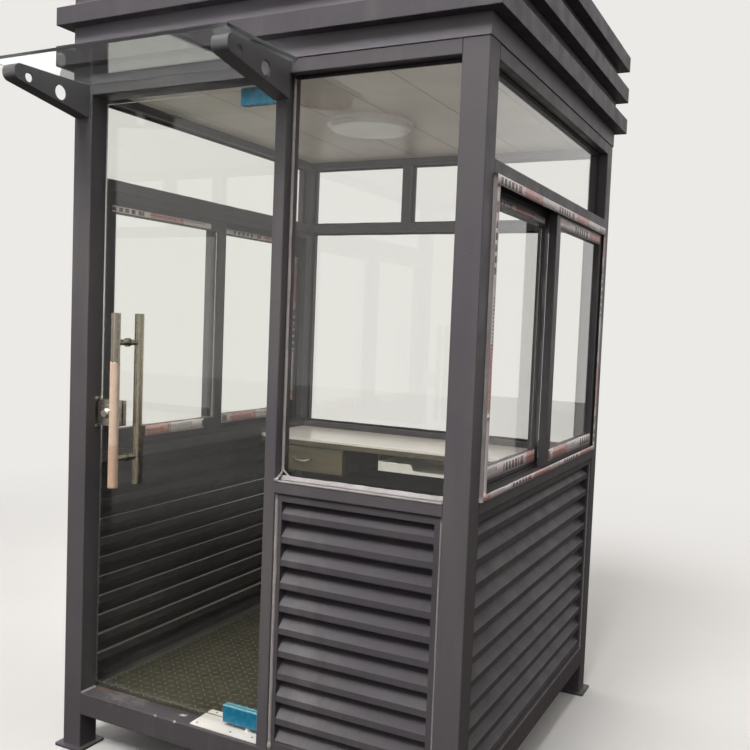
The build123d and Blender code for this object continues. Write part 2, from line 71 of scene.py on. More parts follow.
def new_material(name):
    """An empty material, its node tree and its Object coordinates."""
    made = bpy.data.materials.new(name)
    made.use_nodes = True
    made.node_tree.nodes.clear()
    place = add(made.node_tree, "ShaderNodeTexCoord").outputs["Object"]
    return made, made.node_tree, place


def finish(tree, inputs):
    """The material's one Principled shader, with its output."""
    shader = add(tree, "ShaderNodeBsdfPrincipled", inputs)
    add(tree, "ShaderNodeOutputMaterial", {"Surface": shader})


# Steps that most finishes are built up from

def layer(tree, pattern, none_at, full_at, colour, shade, most=1.0):
    """A shade laid over a colour by a pattern, which is a node or socket, or the
    inputs of a new noise texture. Where the pattern is at none_at there is
    none of the shade, and where it is at full_at there is the most of it."""
    if isinstance(pattern, dict):
        pattern = add(tree, "ShaderNodeTexNoise", pattern)
    if isinstance(colour, str):
        colour = linear(colour)
    mask = add(tree, "ShaderNodeMapRange", {"Value": pattern, "From Min": none_at, "From Max": full_at,
                                            "To Max": most})
    return add(tree, "ShaderNodeMix", {"Factor": mask, "A": colour, "B": linear(shade)}, data_type="RGBA")


def varied(tree, pattern, least, most):
    """A value that drifts between two limits by a new noise texture."""
    drift = add(tree, "ShaderNodeTexNoise", pattern)
    return add(tree, "ShaderNodeMapRange", {"Value": drift, "From Min": 0.3, "From Max": 0.7, "To Min": least,
                                            "To Max": most})


def relief(tree, pattern, distance, strength=0.4):
    """A shallow bump by a new noise texture, its distance in metres."""
    height = add(tree, "ShaderNodeTexNoise", pattern)
    return add(tree, "ShaderNodeBump", {"Height": height, "Distance": distance, "Strength": strength})


# Finishes

def charcoal_enamel(name, base, dusty, rough, shine, marks=()):
    """Alkyd enamel sprayed on mild steel: an even satin coat with orange peel
    about 4 mm across, faint dust and rain streaks, and a few local marks."""
    made, tree, place = new_material(name)
    colour = layer(tree, {"Vector": place, "Scale": 2.2, "Detail": 5, "Roughness": 0.6}, 0.35, 0.7, base, dusty)
    down = add(tree, "ShaderNodeMapping", {"Vector": place, "Scale": (1, 1, 0.12)})
    rain = {"Vector": down, "Scale": 9, "Detail": 5, "Roughness": 0.6}
    colour = layer(tree, rain, 0.52, 0.78, colour, "#7d7672", 0.3)
    colour = layer(tree, {"Vector": place, "Scale": 210, "Detail": 2}, 0.71, 0.76, colour, "#8f8883", 0.4)
    # A mark thins out over the outer half of its radius, with a ragged edge
    ragged = add(tree, "ShaderNodeTexNoise", {"Vector": place, "Scale": 60, "Detail": 3})
    for point, radius, shade, weight in marks:
        away = add(tree, "ShaderNodeVectorMath", {"Vector": place, "Vector_001": point}, operation="DISTANCE")
        reach = add(tree, "ShaderNodeMapRange", {"Value": ragged, "From Min": 0.3, "From Max": 0.7,
                                                 "To Min": 0.4 * radius, "To Max": 1.6 * radius})
        spot = add(tree, "ShaderNodeMath", {"Value": away, "Value_001": reach}, operation="DIVIDE")
        colour = layer(tree, spot, 1.0, 0.5, colour, shade, weight)
    sheen = varied(tree, {"Vector": place, "Scale": 14, "Detail": 4}, rough - 0.06, rough + 0.1)
    peel = relief(tree, {"Vector": place, "Scale": 240, "Detail": 2}, 0.00018, 0.5)
    dents = add(tree, "ShaderNodeTexNoise", {"Vector": place, "Scale": 5, "Detail": 2, "Roughness": 0.4})
    dents = add(tree, "ShaderNodeBump", {"Height": dents, "Distance": 0.0012, "Strength": 0.3, "Normal": peel})
    finish(tree, {"Base Color": colour, "Roughness": sheen, "Normal": dents, "Specular IOR Level": shine})
    return made


def tread_enamel():
    """Worn olive-grey enamel on hot-rolled tread plate: trodden bright on the
    raised bars and dull with dust between them."""
    made, tree, place = new_material("worn_enamel_on_tread_plate")
    patchy = {"Vector": place, "Scale": 3.5, "Detail": 5, "Roughness": 0.6}
    colour = layer(tree, patchy, 0.35, 0.7, "#3c3930", "#4e4a3d")
    dust = {"Vector": place, "Scale": 40, "Detail": 4, "Roughness": 0.65}
    colour = layer(tree, dust, 0.5, 0.75, colour, "#5f5a4e", 0.4)
    height = add(tree, "ShaderNodeSeparateXYZ", {"Vector": place}).outputs["Z"]
    colour = layer(tree, height, floor_top + 0.0004, floor_top + 0.0012, colour, "#989281", 0.6)
    rough = varied(tree, {"Vector": place, "Scale": 22, "Detail": 3}, 0.42, 0.62)
    grain = relief(tree, {"Vector": place, "Scale": 300, "Detail": 3}, 0.0002)
    finish(tree, {"Base Color": colour, "Roughness": rough, "Normal": grain, "Specular IOR Level": 0.35})
    return made


def powder_coat():
    """Textured charcoal powder coat on extruded aluminium: finer and flatter
    than the enamel, with smudges where hands push the sashes. Its grit is
    drawn 1.4 mm across, a little coarse, so that it shows; its lighter
    specks are painted glints."""
    made, tree, place = new_material("powder_coated_aluminium")
    smudge = add(tree, "ShaderNodeTexNoise", {"Vector": place, "Scale": 6, "Detail": 5, "Roughness": 0.6})
    colour = layer(tree, smudge, 0.45, 0.75, "#474447", "#575354")
    grit_and_glints = add(tree, "ShaderNodeTexNoise", {"Vector": place, "Scale": 700, "Detail": 2})
    # The lighter specks where the grit is high are painted glints
    colour = layer(tree, grit_and_glints, 0.6, 0.9, colour, "#75706f", 0.35)
    rough = add(tree, "ShaderNodeMapRange", {"Value": smudge, "From Min": 0.45, "From Max": 0.75, "To Min": 0.4,
                                             "To Max": 0.56})
    bumps = add(tree, "ShaderNodeBump", {"Height": grit_and_glints, "Distance": 0.00012, "Strength": 0.5})
    finish(tree, {"Base Color": colour, "Roughness": rough, "Normal": bumps, "Specular IOR Level": 0.35})
    return made


def sheet_glass(name, tint, edge, haze, face_axis):
    """Float glass: clear faces with a little dried dust and faint roller
    waves, and ground edges that show the green of the sheet's whole width.
    Lamp light passes straight through it, so that it lights the inside."""
    made, tree, place = new_material(name)
    # The rim is where the sheet's surface faces away from its own axis
    facing = add(tree, "ShaderNodeTexCoord").outputs["Normal"]
    facing = add(tree, "ShaderNodeSeparateXYZ", {"Vector": facing}).outputs[face_axis]
    facing = add(tree, "ShaderNodeMath", {"Value": facing}, operation="ABSOLUTE")
    rim = add(tree, "ShaderNodeMath", {"Value": facing, "Value_001": 0.7}, operation="LESS_THAN")
    colour = add(tree, "ShaderNodeMix", {"Factor": rim, "A": linear(tint), "B": linear(edge)}, data_type="RGBA")
    film = add(tree, "ShaderNodeTexNoise", {"Vector": place, "Scale": 3.5, "Detail": 5, "Roughness": 0.65})
    film = add(tree, "ShaderNodeMapRange", {"Value": film, "From Min": 0.55, "From Max": 0.85, "To Max": haze})
    ground = add(tree, "ShaderNodeMath", {"Value": rim, "Value_001": 0.35}, operation="MULTIPLY")
    rough = add(tree, "ShaderNodeMath", {"Value": film, "Value_001": ground}, operation="MAXIMUM")
    waves = relief(tree, {"Vector": place, "Scale": 1.6, "Detail": 1, "Roughness": 0.4}, 0.0006, 0.2)
    sheet = add(tree, "ShaderNodeBsdfPrincipled", {"Base Color": colour, "Roughness": rough, "IOR": 1.5,
                                                   "Transmission Weight": 1.0, "Normal": waves,
                                                   "Specular IOR Level": 0.2})
    through = add(tree, "ShaderNodeBsdfTransparent", {"Color": linear(tint)})
    lamp_rays = add(tree, "ShaderNodeLightPath").outputs["Is Shadow Ray"]
    both = add(tree, "ShaderNodeMixShader", {"Fac": lamp_rays, "Shader": sheet, "Shader_001": through})
    add(tree, "ShaderNodeOutputMaterial", {"Surface": both})
    return made


def brushed_stainless(name, base, bright, along):
    """Stainless steel tube or sheet with a fine brush grain that runs one way,
    drawn 1 mm apart so that it shows, and finger marks that dull it."""
    made, tree, place = new_material(name)
    stretch = {"X": (0.03, 1, 1), "Y": (1, 0.03, 1), "Z": (1, 1, 0.03)}[along]
    drawn = add(tree, "ShaderNodeMapping", {"Vector": place, "Scale": stretch})
    grain = add(tree, "ShaderNodeTexNoise", {"Vector": drawn, "Scale": 900, "Detail": 3})
    colour = layer(tree, grain, 0.3, 0.7, base, bright)
    marks = add(tree, "ShaderNodeTexNoise", {"Vector": place, "Scale": 18, "Detail": 4, "Roughness": 0.6})
    marks = add(tree, "ShaderNodeMapRange", {"Value": marks, "From Min": 0.5, "From Max": 0.8, "To Max": 0.15})
    rough = add(tree, "ShaderNodeMapRange", {"Value": grain, "From Min": 0.3, "From Max": 0.7, "To Min": 0.2,
                                             "To Max": 0.34})
    rough = add(tree, "ShaderNodeMath", {"Value": rough, "Value_001": marks}, operation="ADD")
    lines = add(tree, "ShaderNodeBump", {"Height": grain, "Distance": 0.00005, "Strength": 0.4})
    finish(tree, {"Base Color": colour, "Roughness": rough, "Metallic": 1.0, "Normal": lines})
    return made


def blue_film():
    """Blue polyethylene film on stainless covers, smooth and glossy, with
    trapped air in patches of 2 or 3 cm and a paler lip where its top edge
    folds over."""
    made, tree, place = new_material("blue_protective_film")
    air = add(tree, "ShaderNodeTexNoise", {"Vector": place, "Scale": 38, "Detail": 3})
    colour = layer(tree, air, 0.55, 0.8, "#1f7494", "#2f8eab", 0.6)
    height = add(tree, "ShaderNodeSeparateXYZ", {"Vector": place}).outputs["Z"]
    for top in patch_tops:
        lip = add(tree, "ShaderNodeMapRange", {"Value": height, "From Min": top - 0.004, "From Max": top - 0.0015,
                                               "To Max": 0.8})
        past = add(tree, "ShaderNodeMath", {"Value": height, "Value_001": top + 0.01}, operation="LESS_THAN")
        lip = add(tree, "ShaderNodeMath", {"Value": lip, "Value_001": past}, operation="MULTIPLY")
        colour = add(tree, "ShaderNodeMix", {"Factor": lip, "A": colour, "B": linear("#8cc8d8")}, data_type="RGBA")
    rough = add(tree, "ShaderNodeMapRange", {"Value": air, "From Min": 0.3, "From Max": 0.7, "To Min": 0.2,
                                             "To Max": 0.34})
    bubbles = add(tree, "ShaderNodeBump", {"Height": air, "Distance": 0.0008, "Strength": 0.35})
    finish(tree, {"Base Color": colour, "Roughness": rough, "Normal": bubbles, "Coat Weight": 0.2,
                  "Coat Roughness": 0.12})
    return made


def bar_wrap_film():
    """Beige polyethylene film round the outer pull bar: smooth, a little
    greasy, creased every 9 mm or so, darker where it doubles over lower down."""
    made, tree, place = new_material("beige_protective_film")
    height = add(tree, "ShaderNodeSeparateXYZ", {"Vector": place}).outputs["Z"]
    colour = layer(tree, height, film_step + 0.003, film_step - 0.003, "#e6ccb6", "#d6b49c")
    grease = add(tree, "ShaderNodeTexNoise", {"Vector": place, "Scale": 24, "Detail": 4, "Roughness": 0.6})
    colour = layer(tree, grease, 0.45, 0.8, colour, "#bf9b84", 0.5)
    rough = add(tree, "ShaderNodeMapRange", {"Value": grease, "From Min": 0.45, "From Max": 0.8, "To Min": 0.3,
                                             "To Max": 0.4})
    around = add(tree, "ShaderNodeMapping", {"Vector": place, "Scale": (1, 1, 0.25)})
    crease = relief(tree, {"Vector": around, "Scale": 110, "Detail": 3}, 0.0005)
    finish(tree, {"Base Color": colour, "Roughness": rough, "Normal": crease})
    return made


def silicone_sealant(name, base, dirty, streaked):
    """Neutral-cure silicone, tooled by hand: slightly waxy, with dust caught
    in its ripples, which are about 11 mm apart."""
    made, tree, place = new_material(name)
    dirt = {"Vector": place, "Scale": 16, "Detail": 5, "Roughness": 0.65}
    colour = layer(tree, dirt, 0.4, 0.75, base, dirty)
    fine = {"Vector": place, "Scale": 120, "Detail": 3, "Roughness": 0.6}
    colour = layer(tree, fine, 0.55, 0.8, colour, streaked, 0.5)
    ripple = relief(tree, {"Vector": place, "Scale": 90, "Detail": 3}, 0.0008, 0.5)
    finish(tree, {"Base Color": colour, "Roughness": 0.5, "Normal": ripple})
    return made


def printed_tape():
    """White polyethylene masking tape for window sections, soiled pink-grey
    and printed with plain dark bars and washed-out red bands. The UV map gives
    metres along the strip in U and the place across it, 0 to 1, in V."""
    made, tree, place = new_material("printed_protective_tape")
    split = add(tree, "ShaderNodeSeparateXYZ", {"Vector": add(tree, "ShaderNodeTexCoord").outputs["UV"]})
    along, across = split.outputs["X"], split.outputs["Y"]
    repeat = add(tree, "ShaderNodeMath", {"Value": along, "Value_001": print_repeat}, operation="DIVIDE")
    repeat = add(tree, "ShaderNodeMath", {"Value": repeat}, operation="FRACT")
    soil = add(tree, "ShaderNodeTexNoise", {"Vector": place, "Scale": 24, "Detail": 4, "Roughness": 0.6})
    colour = layer(tree, soil, 0.35, 0.8, "#fff6f5", "#ecd8d5")
    worn = add(tree, "ShaderNodeTexNoise", {"Vector": place, "Scale": 210, "Detail": 4, "Roughness": 0.65})
    worn = add(tree, "ShaderNodeMapRange", {"Value": worn, "From Min": 0.38, "From Max": 0.55, "To Min": 0.55})
    # Dark blocks 32 mm apart, a red block, a line of small red blocks on a
    # washed-out red band, then fine dark bars. Each print has its limits along the
    # repeat, 0 to 1, its bars' spacing in metres and the share of it that they
    # fill, its limits across the tape, its colour and its strength.
    prints = [
        (0.03, 0.29, 0.032, 0.62, 0.18, 0.82, "#36323c", 1.0),
        (0.31, 0.36, 0.02, 1.0, 0.14, 0.86, "#84343f", 0.95),
        (0.42, 0.72, 0.05, 1.0, 0.0, 1.0, "#dd8f86", 0.75),
        (0.4, 0.66, 0.014, 0.7, 0.42, 0.66, "#b23a3f", 0.85),
        (0.68, 0.93, 0.011, 0.55, 0.5, 0.82, "#413c46", 0.85),
    ]
    for start, end, spacing, share, low, high, shade, strength in prints:
        bar = add(tree, "ShaderNodeMath", {"Value": along, "Value_001": spacing}, operation="DIVIDE")
        bar = add(tree, "ShaderNodeMath", {"Value": bar}, operation="FRACT")
        inside = add(tree, "ShaderNodeMath", {"Value": worn, "Value_001": strength}, operation="MULTIPLY")
        for value, limit, test in ((repeat, start, "GREATER_THAN"), (repeat, end, "LESS_THAN"),
                                   (across, low, "GREATER_THAN"), (across, high, "LESS_THAN"),
                                   (bar, share, "LESS_THAN")):
            hit = add(tree, "ShaderNodeMath", {"Value": value, "Value_001": limit}, operation=test)
            inside = add(tree, "ShaderNodeMath", {"Value": inside, "Value_001": hit}, operation="MULTIPLY")
        colour = add(tree, "ShaderNodeMix", {"Factor": inside, "A": colour, "B": linear(shade)}, data_type="RGBA")
    rough = add(tree, "ShaderNodeMapRange", {"Value": soil, "From Min": 0.35, "From Max": 0.8, "To Min": 0.34,
                                             "To Max": 0.55})
    wrinkle = relief(tree, {"Vector": place, "Scale": 70, "Detail": 3}, 0.0008, 0.5)
    finish(tree, {"Base Color": colour, "Roughness": rough, "Normal": wrinkle})
    return made


def rubber_gasket():
    """Black EPDM glazing gasket, dull and slightly greyed by dust. Its skin is
    drawn 2 mm across, coarser than it is, so that it shows."""
    made, tree, place = new_material("epdm_glazing_gasket")
    dust = {"Vector": place, "Scale": 45, "Detail": 4, "Roughness": 0.6}
    colour = layer(tree, dust, 0.45, 0.8, "#242122", "#3c3838")
    grain = relief(tree, {"Vector": place, "Scale": 500, "Detail": 2}, 0.0001)
    finish(tree, {"Base Color": colour, "Roughness": 0.62, "Normal": grain})
    return made


def cream_ceiling_board():
    """Cream PVC-faced ceiling board: smooth, a little uneven in the light,
    dirty along the joints between the boards."""
    made, tree, place = new_material("cream_ceiling_board")
    colour = layer(tree, {"Vector": place, "Scale": 3, "Detail": 4}, 0.35, 0.7, "#e4d8ca", "#d1c5b7")
    height = add(tree, "ShaderNodeSeparateXYZ", {"Vector": place}).outputs["Z"]
    colour = layer(tree, height, ceiling_low + 0.0002, ceiling_low + 0.0012, colour, "#5e574e")
    fine = relief(tree, {"Vector": place, "Scale": 260, "Detail": 2}, 0.0001)
    finish(tree, {"Base Color": colour, "Roughness": 0.42, "Normal": fine})
    return made


def opal_acrylic():
    """Opal acrylic diffuser on a white rim: milky and softly glossy."""
    made, tree, place = new_material("opal_acrylic_diffuser")
    colour = layer(tree, {"Vector": place, "Scale": 7, "Detail": 3}, 0.35, 0.7, "#f1ece9", "#e4dcd6")
    fine = relief(tree, {"Vector": place, "Scale": 500, "Detail": 2}, 0.00005, 0.3)
    finish(tree, {"Base Color": colour, "Roughness": 0.28, "Normal": fine, "Subsurface Weight": 0.2,
                  "Subsurface Scale": 0.01})
    return made


def smooth_coat(name, base, other, speck, rough):
    """A smooth factory surface, such as laminate, moulded plastic or a coated
    plate: even colour with a stipple too fine to feel, drawn 2 mm across."""
    made, tree, place = new_material(name)
    drift = add(tree, "ShaderNodeTexNoise", {"Vector": place, "Scale": 6, "Detail": 4, "Roughness": 0.55})
    colour = layer(tree, drift, 0.35, 0.7, base, other)
    stipple = add(tree, "ShaderNodeTexNoise", {"Vector": place, "Scale": 480, "Detail": 2})
    colour = layer(tree, stipple, 0.6, 0.85, colour, speck, 0.25)
    sheen = add(tree, "ShaderNodeMapRange", {"Value": drift, "From Min": 0.35, "From Max": 0.7,
                                             "To Min": rough - 0.04, "To Max": rough + 0.06})
    bumps = add(tree, "ShaderNodeBump", {"Height": stipple, "Distance": 0.00008, "Strength": 0.4})
    finish(tree, {"Base Color": colour, "Roughness": sheen, "Normal": bumps})
    return made


def melamine_board():
    """Olive-brown melamine board with a printed straight grain, 3 to 8 mm
    between its lines. Its colours are darker than the board's own: partly
    painted shade, for the shade it stands in behind the glass."""
    made, tree, place = new_material("olive_melamine_board")
    long_way = add(tree, "ShaderNodeMapping", {"Vector": place, "Scale": (0.05, 1, 1)})
    colour = layer(tree, {"Vector": long_way, "Scale": 22, "Detail": 3}, 0.35, 0.65, "#5c5343", "#6b614f")
    grain = add(tree, "ShaderNodeTexNoise", {"Vector": long_way, "Scale": 110, "Detail": 5, "Roughness": 0.6})
    colour = layer(tree, grain, 0.5, 0.75, colour, "#494134", 0.5)
    rough = add(tree, "ShaderNodeMapRange", {"Value": grain, "From Min": 0.3, "From Max": 0.7, "To Min": 0.34,
                                             "To Max": 0.48})
    lines = add(tree, "ShaderNodeBump", {"Height": grain, "Distance": 0.0001, "Strength": 0.4})
    finish(tree, {"Base Color": colour, "Roughness": rough, "Normal": lines})
    return made


def zinc_sheet():
    """Zinc-plated steel with a faint cold-rolled grain, drawn 2.5 mm apart so
    that it shows."""
    made, tree, place = new_material("zinc_plated_steel")
    rolled = add(tree, "ShaderNodeMapping", {"Vector": place, "Scale": (1, 0.05, 1)})
    grain = add(tree, "ShaderNodeTexNoise", {"Vector": rolled, "Scale": 400, "Detail": 3})
    colour = layer(tree, grain, 0.3, 0.7, "#8e8f8e", "#b3b3af")
    rough = varied(tree, {"Vector": place, "Scale": 30, "Detail": 3}, 0.32, 0.5)
    lines = add(tree, "ShaderNodeBump", {"Height": grain, "Distance": 0.00004, "Strength": 0.4})
    finish(tree, {"Base Color": colour, "Roughness": rough, "Metallic": 1.0, "Normal": lines})
    return made


def studio_floor():
    """Plain floor. It shows pale and fades into the surround with distance,
    and it throws little light back up under the booth."""
    made, tree, place = new_material("studio_floor")
    rays = add(tree, "ShaderNodeLightPath")
    camera_ray = rays.outputs["Is Camera Ray"]
    seen = add(tree, "ShaderNodeMath", {"Value": camera_ray, "Value_001": rays.outputs["Is Transmission Ray"]},
               operation="MAXIMUM")
    pale = layer(tree, {"Vector": place, "Scale": 0.6, "Detail": 3}, 0.3, 0.7, "#dfddda", "#e4e2df")
    colour = add(tree, "ShaderNodeMix", {"Factor": camera_ray, "A": linear("#45413c"), "B": pale}, data_type="RGBA")
    ground = add(tree, "ShaderNodeBsdfPrincipled", {"Base Color": colour, "Roughness": 0.8,
                                                    "Specular IOR Level": 0.1})
    away = add(tree, "ShaderNodeVectorMath", {"Vector": place}, operation="LENGTH")
    # The fade starts 1.7 m from the middle, or 3.2 m where glass is in front
    near = add(tree, "ShaderNodeMapRange", {"Value": camera_ray, "To Min": 3.2, "To Max": 1.7})
    away = add(tree, "ShaderNodeMapRange", {"Value": away, "From Min": near, "From Max": 6.5},
               interpolation_type="SMOOTHSTEP")
    fade = add(tree, "ShaderNodeMath", {"Value": away, "Value_001": seen}, operation="MULTIPLY")
    surround = add(tree, "ShaderNodeEmission", {"Color": linear(surround_colour), "Strength": 1.0})
    both = add(tree, "ShaderNodeMixShader", {"Fac": fade, "Shader": ground, "Shader_001": surround})
    add(tree, "ShaderNodeOutputMaterial", {"Surface": both})
    return made


# Places that the finishes and fittings are set out from

def corner(node, high=False):
    """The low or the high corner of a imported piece's box."""
    return Vector(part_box(node)[1 if high else 0])


foot_reach = 0.02  # how far the foot plates stand out past the posts
left, front = corner("front_left_post").x + foot_reach, corner("front_left_post").y + foot_reach
right, rear = corner("rear_right_post", True).x - foot_reach, corner("rear_right_post", True).y - foot_reach
post = corner("floor_plate").x - left
inner_left, inner_right = left + post, right - post
inner_front, inner_rear = front + post, rear - post
floor_top = corner("floor_plate", True).z
ceiling_low = corner("ceiling_panel").z
mullion_right = corner("front_mullion", True).x
rear_mullion_width = 0.04
pane_thickness = 0.008
track_pitch = 0.04275  # from the outer track of a side window to its inner one
sill_low, sill_high = corner("sill_rails").z, corner("sill_rails", True).z
patch_tops = [corner("door_bottom_patch", True).z, corner("door_top_patch", True).z]
bar_low, bar_high = corner("door_pull_bars"), corner("door_pull_bars", True)
# The film on the outer pull bar: its foot, the top of its double layer, its top
film_foot, film_step, film_top = bar_low.z + 0.002, bar_low.z + 0.15, bar_low.z + 0.433
print_repeat = 0.62  # one repeat of the print on the tape
surround_colour = "#eceae7"
X, Y, Z = Vector((1, 0, 0)), Vector((0, 1, 0)), Vector((0, 0, 1))


def booth(x, y, z):
    """A place given in metres from the outer front left corner, at height z."""
    return Vector((left + x, front + y, z))


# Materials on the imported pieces

# Rust, scuffs and specks of sealant on the front sill beam: the centre, radius,
# colour and strength of each
sill_marks = [
    (booth(0.112, 0.057, floor_top), 0.02, "#86674b", 0.5),
    (booth(0.14, 0.058, floor_top), 0.016, "#80674f", 0.45),
    (booth(0.22, 0.05, floor_top), 0.05, "#8d8580", 0.4),
    (booth(0.3, 0.056, floor_top), 0.04, "#8d8580", 0.35),
    (booth(0.496, 0.051, floor_top), 0.012, "#cfc9c4", 0.85),
    (booth(0.501, 0, floor_top), 0.009, "#cfc9c4", 0.8),
    (booth(0.419, 0, floor_top), 0.008, "#bdb6b0", 0.7),
]
frame_enamel = charcoal_enamel("charcoal_enamel_on_steel_tube", "#555156", "#5d5859", 0.46, 0.35)
beam_enamel = charcoal_enamel("charcoal_enamel_on_base_beams", "#514c50", "#5a5455", 0.46, 0.35, sill_marks)
louvre_enamel = charcoal_enamel("charcoal_enamel_on_bent_sheet", "#4b474c", "#555154", 0.42, 0.22)
roof_enamel = charcoal_enamel("charcoal_enamel_on_folded_sheet", "#4a464b", "#524e52", 0.46, 0.3)
# The fascia's enamel is the roof's charcoal paint made lighter: painted light, standing in for the light that the
# bands' shadow keeps off it
fascia_enamel_painted_lighter = charcoal_enamel("charcoal_enamel_painted_lighter_on_fascia", "#77737a", "#7f7b80", 0.46, 0.3)
bracket_enamel = charcoal_enamel("charcoal_enamel_on_plate", "#6b686e", "#737073", 0.42, 0.35)
window_coat = powder_coat()
cross_panes = sheet_glass("clear_float_glass_across", "#fbfbf9", "#7b938a", 0.04, "Y")
side_panes = sheet_glass("clear_float_glass_at_sides", "#fbfbf9", "#7b938a", 0.04, "X")
door_sheet = sheet_glass("door_toughened_glass", "#f8faf6", "#4d6158", 0.04, "Y")
canopy_sheet = sheet_glass("canopy_toughened_glass", "#e2e6e1", "#868c89", 0.05, "Z")
bar_steel = brushed_stainless("brushed_stainless_bar", "#948c7f", "#b3ab9d", "Z")
lock_steel = brushed_stainless("brushed_stainless_lock", "#cbc4ba", "#e8e2d9", "X")
plate_steel = smooth_coat("cream_coated_steel_plate", "#f4eee6", "#e8dfd5", "#c9c0b4", 0.35)
patch_film = blue_film()
pale_silicone = silicone_sealant("tooled_silicone_sealant", "#a39c9a", "#8a8382", "#6d6767")
# A lighter copy of the tooled silicone, for the ledge and the windows' side beads: on the side beads its extra
# lightness is painted light, standing in for the light that the posts' shadow keeps off them
lighter_silicone_partly_painted_light = silicone_sealant("fresh_silicone_on_ledge", "#aaa4a3", "#938d8c", "#797473")
floor_silicone = silicone_sealant("greenish_silicone_on_floor", "#646a5d", "#54574c", "#474840")
gasket = rubber_gasket()
tape = printed_tape()
floor_enamel = tread_enamel()

windows = ["left_window_frame", "right_window_frame", "left_window_sashes", "right_window_sashes"]
louvres = ["front_louvre", "right_louvre", "rear_louvre", "left_louvre"]
roof = ["roof_band_lower", "roof_band_middle", "roof_band_upper", "roof_deck"]
assigned = {
    frame_enamel: ["front_left_post", "front_right_post", "rear_left_post", "rear_right_post", "top_rails",
                   "sill_rails", "transom_rails", "front_mullion", "rear_upper_mullions", "floor_bearers"],
    beam_enamel: ["base_beams"],
    louvre_enamel: louvres,
    roof_enamel: roof,
    fascia_enamel_painted_lighter: ["roof_fascia"],
    bracket_enamel: ["canopy_brackets"],
    floor_enamel: ["floor_plate"],
    window_coat: windows,
    side_panes: ["left_window_glass", "right_window_glass", "side_transom_glass"],
    cross_panes: ["front_fixed_glass", "rear_fixed_glass", "rear_transom_glass"],
    door_sheet: ["door_glass"],
    canopy_sheet: ["canopy_glass"],
    bar_steel: ["door_pull_bars"],
    lock_steel: ["door_lock", "strike_plate", "top_pivot", "drawer_handle"],
    plate_steel: ["floor_spring"],
    patch_film: ["door_bottom_patch", "door_top_patch"],
    cream_ceiling_board(): ["ceiling_panel"],
    opal_acrylic(): ["ceiling_lamp"],
    smooth_coat("pale_desk_laminate", "#faf1ea", "#f2e8e0", "#d6cac1", 0.2): ["desk_top"],
    melamine_board(): ["desk_apron", "drawer_cabinet", "drawer"],
    smooth_coat("white_moulded_plastic", "#f1ede6", "#e6e0d7", "#cfc8be", 0.34): ["keyboard_tray"],
    zinc_sheet(): ["slide_runners"],
}
for coating, names in assigned.items():
    for name in names:
        nodes[name].material_slots[0].material = coating

# Widths of the narrow rounded arrises that folded, cut and sanded edges have
eased = [
    (["roof_fascia"] + roof, 0.0018),
    (["canopy_brackets"], 0.0015),
    (["desk_top", "desk_apron", "drawer_cabinet", "drawer"], 0.0012),
    (["keyboard_tray"], 0.001),
    (windows, 0.0009),
    (louvres, 0.0006),
]
for names, width in eased:
    for name in names:
        join = nodes[name].modifiers.new("joined_faces", "WELD")
        join.merge_threshold = 0.00001
        round_off = nodes[name].modifiers.new("eased_edges", "BEVEL")
        round_off.width = width
        round_off.segments = 2
        round_off.limit_method = "ANGLE"
        round_off.angle_limit = math.radians(50)


# Mesh building

def linked(name, data):
    """A new object in the scene."""
    made = bpy.data.objects.new(name, data)
    bpy.context.scene.collection.objects.link(made)
    return made


def mesh_from(made, name, material):
    """A built-up mesh made final, with its material."""
    mesh = bpy.data.meshes.new(name)
    made.to_mesh(mesh)
    made.free()
    mesh.materials.append(material)
    return mesh


def piece_from(made, name, material, body):
    """A built-up mesh as a piece that rides on its body."""
    piece = linked(name, mesh_from(made, name, material))
    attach(piece, body)
    return piece


def sway(value, seed, per_metre):
    """Smooth noise along a strip, from -1 to 1. Each seed has its own part of it."""
    return noise.noise(Vector((value * per_metre, seed * 7.31, 0.5 * seed)))


def strip(made, start, end, across, out, profile, ragged, seed, spacing=0.02, uv=None, print_from=(0, 0)):
    """A solid strip from start to end, in steps of about the spacing. The
    profile's points are (across, out) in metres, in order round its section,
    and ragged is the share by which its width and height drift. In a uv
    layer the strip's print starts from print_from."""
    start, end, across, out = (Vector(v) for v in (start, end, across, out))
    run = end - start
    length = run.length
    flip = run.cross(across).dot(out) < 0
    count = max(2, round(length / spacing))
    rows = []
    for step in range(count + 1):
        t = length * step / count
        factor = 1 + ragged * sway(t, seed, per_metre=14)
        lift = 1 + ragged * sway(t, seed + 5, per_metre=23)
        centre = start + run * (step / count)
        rows.append(([made.verts.new(centre + across * (a * factor) + out * (b * lift if b > 0 else b))
                      for a, b in profile], t))
    faces = []
    for (low, t0), (high, t1) in zip(rows, rows[1:]):
        for i in range(len(profile)):
            j = (i + 1) % len(profile)
            faces.append(([low[i], low[j], high[j], high[i]], [(t0, i), (t0, j), (t1, j), (t1, i)]))
    ends = list(range(len(profile)))
    faces.append((rows[0][0], [(0, i) for i in ends]))
    faces.append((rows[-1][0][::-1], [(length, i) for i in ends[::-1]]))
    width = max(a for a, b in profile)
    for corners, marks in faces:
        if flip:
            corners, marks = corners[::-1], marks[::-1]
        face = made.faces.new(corners)
        face.smooth = len(corners) == 4
        if uv is not None:
            for loop, (t, i) in zip(face.loops, marks):
                loop[uv].uv = (t + print_from[0], profile[i][0] / width + print_from[1])


sunk = -0.0004  # where a bead's foot lies, just inside what carries it


def bead_profile(width, height):
    """A tooled sealant bead: domed, with thin feathered edges."""
    return [(0, sunk), (0, height * 0.25), (width * 0.25, height * 0.85), (width * 0.5, height),
            (width * 0.75, height * 0.85), (width, height * 0.25), (width, sunk)]


def blob(made, centre, size):
    """A dab of sealant: a low ball with the given half sizes."""
    turn = Matrix.Translation(centre) @ Matrix.Diagonal((*size, 1))
    dab = bmesh.ops.create_icosphere(made, subdivisions=2, radius=1, matrix=turn)
    for vertex in dab["verts"]:
        for face in vertex.link_faces:
            face.smooth = True


# Sealant and gaskets round the fixed glass

